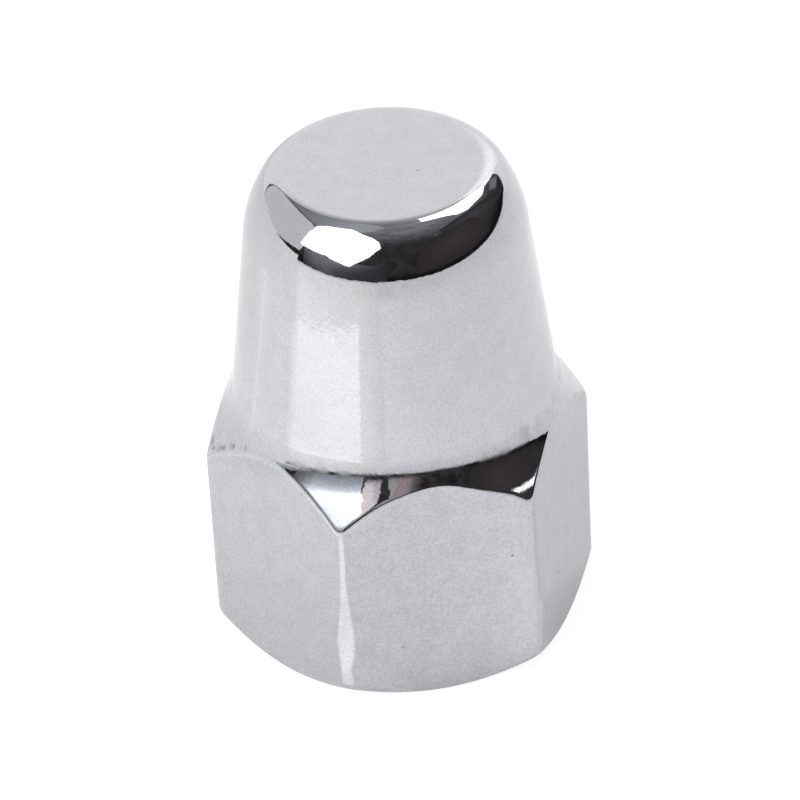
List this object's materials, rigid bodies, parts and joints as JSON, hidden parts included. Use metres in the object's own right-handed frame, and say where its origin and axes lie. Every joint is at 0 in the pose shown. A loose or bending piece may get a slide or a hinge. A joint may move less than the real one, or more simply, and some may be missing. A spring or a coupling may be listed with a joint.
{
  "type": "cap nut",
  "caption": "Tall chromed cap nut: hexagon with chamfered corners, flared and tapered cap rolling over a soft shoulder to a small flat top, and a blind threaded hole from the seat.",
  "frame": {"origin": "centre of the seat face, on the thread axis", "axes": "+Z along the thread axis from the seat towards the closed top, +X through a corner of the hexagon, -Y square to a flat"},
  "size_m": [0.0148, 0.013, 0.0198],
  "materials": {
    "chrome": "polished decorative chrome plate"
  },
  "bodies": {
    "root": {"cap_nut": "chrome"}
  },
  "joints": []
}
